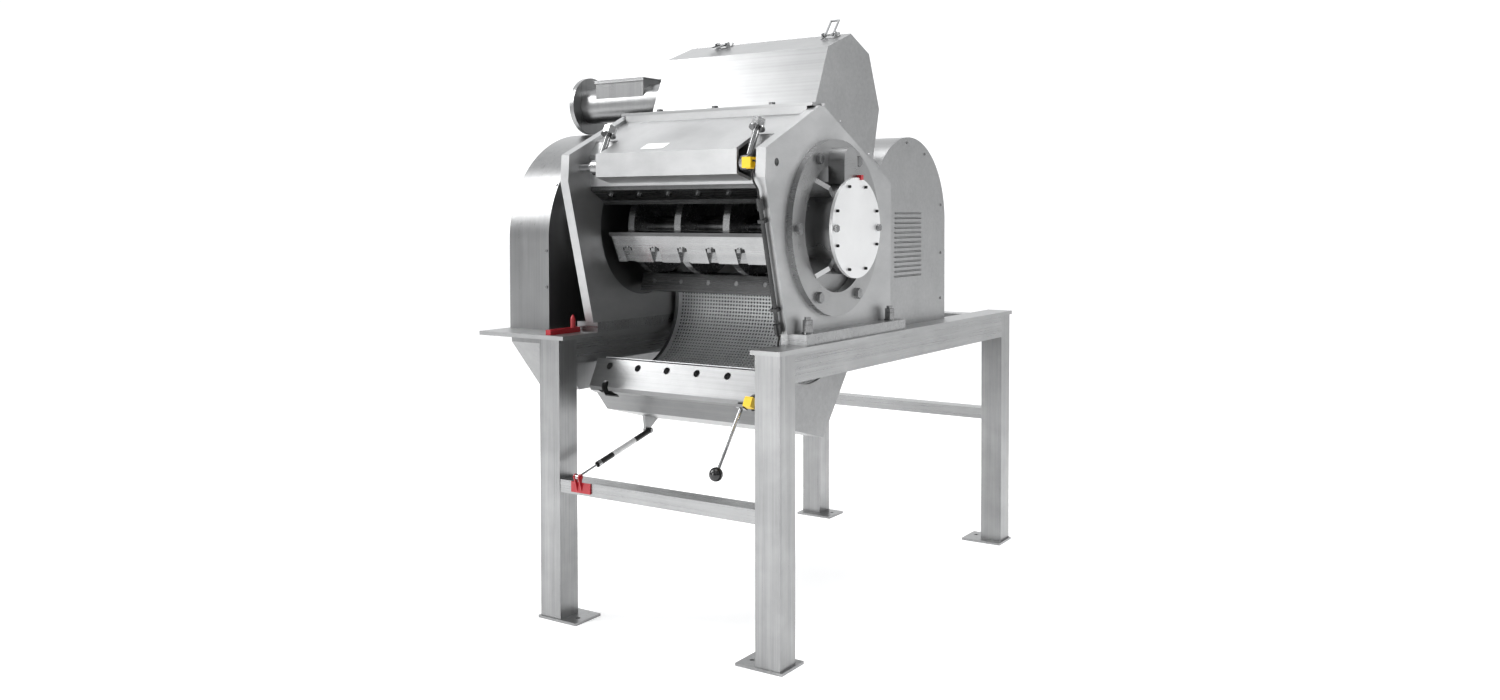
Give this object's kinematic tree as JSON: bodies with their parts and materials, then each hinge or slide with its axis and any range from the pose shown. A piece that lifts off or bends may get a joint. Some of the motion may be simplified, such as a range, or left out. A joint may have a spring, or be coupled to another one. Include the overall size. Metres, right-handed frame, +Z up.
{
  "type": "hammer mill",
  "caption": "Floor-standing mill with a bladed rotor between thick end walls, a screen cradle that swings down on a gas strut, a belt guard, a feed hopper and a welded tube stand.",
  "frame": {"origin": "centre of the four anchor holes, on the floor", "axes": "+X to the right along the rotor, +Y to the rear, +Z up"},
  "size_m": [1.45, 2.1349, 2.3187],
  "materials": {
    "stand_steel": "brushed stainless tube",
    "plate_steel": "bead-blasted stainless plate",
    "sheet_steel": "fine-ground stainless sheet",
    "cover_steel": "fine-turned steel",
    "turned_steel": "turned steel",
    "cradle_steel": "ground stainless",
    "rotor_steel": "ground steel",
    "knife_steel": "ground tool steel",
    "fastener": "bright",
    "black_screw": "blackened",
    "bearing_steel": "hardened",
    "cast": "machined cast iron",
    "motor_paint": "satin paint",
    "motor_steel": "turned steel",
    "belt_rubber": "matt",
    "yellow": "moulded",
    "conduit_metal": "tube with dark glands",
    "cable_black": "matt",
    "red_paint": "gloss red paint",
    "black_knob": "polished",
    "strut_black": "satin black"
  },
  "bodies": {
    "frame": {"stand_legs": "stand_steel", "side_beams": "stand_steel", "cross_bars": "stand_steel", "top_plates": "plate_steel", "base_bars": "plate_steel", "base_studs": "fastener", "left_wall": "plate_steel", "right_wall": "plate_steel", "rear_wall": "plate_steel", "front_housing": "plate_steel", "front_bed_knife": "knife_steel", "rear_knife_beam": "plate_steel", "rear_bed_knife": "knife_steel", "bed_knife_screws": "fastener", "bearing_housings": "turned_steel", "bearing_covers": "cover_steel", "bearing_bolts": "fastener", "cover_screws": "black_screw", "roller_bearings": "bearing_steel", "belt_guard": "sheet_steel", "lower_guard": "sheet_steel", "motor_cover": "sheet_steel", "louver_panel": "sheet_steel", "shell_screws": "fastener", "motor_body": "motor_paint", "drive_belts": "belt_rubber", "hopper_body": "sheet_steel", "hopper_bolts": "fastener", "lid_latches": "fastener", "inlet_tube": "sheet_steel", "inlet_cover": "sheet_steel", "swing_bar": "turned_steel", "safety_switch": "yellow", "cable_conduit": "conduit_metal", "switch_cable": "cable_black", "transport_lock": "red_paint", "hinge_pin": "turned_steel", "strut_bracket": "red_paint"},
    "rotor": {"rotor_shaft": "turned_steel", "rotor_discs": "rotor_steel", "rotor_bars": "rotor_steel", "rotor_knives": "knife_steel", "rotor_bolts": "fastener", "rotor_pulley": "cast"},
    "motor_rotor": {"motor_shaft": "motor_steel", "motor_pulley": "cast"},
    "cradle": {"cradle_trough": "cradle_steel", "cradle_flange": "cradle_steel", "screen": "cradle_steel", "cradle_lever": "turned_steel", "ball_knob": "black_knob", "switch_actuator": "yellow"},
    "strut_barrel": {"strut_cylinder": "strut_black"},
    "strut_piston": {"strut_rod": "turned_steel"},
    "left_swing_bolt": {"left_swing_bolt": "turned_steel"},
    "right_swing_bolt": {"right_swing_bolt": "turned_steel"},
    "lid": {"hopper_lid": "sheet_steel"},
    "left_bail": {"left_bail": "fastener"},
    "right_bail": {"right_bail": "fastener"},
    "hatch": {"inlet_hatch": "sheet_steel"}
  },
  "joints": [
    {"name": "rotor_spin", "type": "hinge", "parent": "frame", "child": "rotor", "pos_m": [0, -0.535, 1.508], "axis": [-1, 0, 0], "continuous": true},
    {"name": "motor_spin", "type": "hinge", "parent": "frame", "child": "motor_rotor", "pos_m": [0, 0.185, 1.386], "axis": [-1, 0, 0], "continuous": true},
    {"name": "cradle_swing", "type": "hinge", "parent": "frame", "child": "cradle", "pos_m": [0, -0.33, 1.29], "axis": [-1, 0, 0], "range_deg": [0, 63]},
    {"name": "strut_pivot", "type": "hinge", "parent": "cradle", "child": "strut_barrel", "pos_m": [-0.344, -0.60741, 0.68388], "axis": [1, 0, 0], "range_deg": [0, 135.1]},
    {"name": "strut_slide", "type": "slide", "parent": "strut_barrel", "child": "strut_piston", "axis": [0, -0.9688, -0.2477], "range_m": [0, 0.2405]},
    {"name": "left_swing", "type": "hinge", "parent": "frame", "child": "left_swing_bolt", "pos_m": [-0.342, -0.925, 1.739], "axis": [1, 0, 0], "range_deg": [0, 207]},
    {"name": "right_swing", "type": "hinge", "parent": "frame", "child": "right_swing_bolt", "pos_m": [0.342, -0.925, 1.739], "axis": [1, 0, 0], "range_deg": [0, 207]},
    {"name": "lid_hinge", "type": "hinge", "parent": "frame", "child": "lid", "pos_m": [0, -0.16139, 2.20208], "axis": [-1, 0, 0], "range_deg": [0, 100]},
    {"name": "left_bail_pivot", "type": "hinge", "parent": "frame", "child": "left_bail", "pos_m": [-0.152, -0.36197, 2.25475], "axis": [-1, 0, 0], "range_deg": [0, 186.5]},
    {"name": "right_bail_pivot", "type": "hinge", "parent": "frame", "child": "right_bail", "pos_m": [0.352, -0.36197, 2.25475], "axis": [-1, 0, 0], "range_deg": [-146, 40.5]},
    {"name": "hatch_hinge", "type": "hinge", "parent": "frame", "child": "hatch", "pos_m": [-0.5835, -0.348, 2.129], "axis": [-1, 0, 0], "range_deg": [0, 110]}
  ],
  "couplings": [
    {"joint": "motor_spin", "follows": "rotor_spin", "ratio": 2.5},
    {"joint": "strut_pivot", "follows": "cradle_swing", "ratio": 2.1365},
    {"joint": "strut_slide", "follows": "cradle_swing", "m_per_rad": 0.21827}
  ]
}
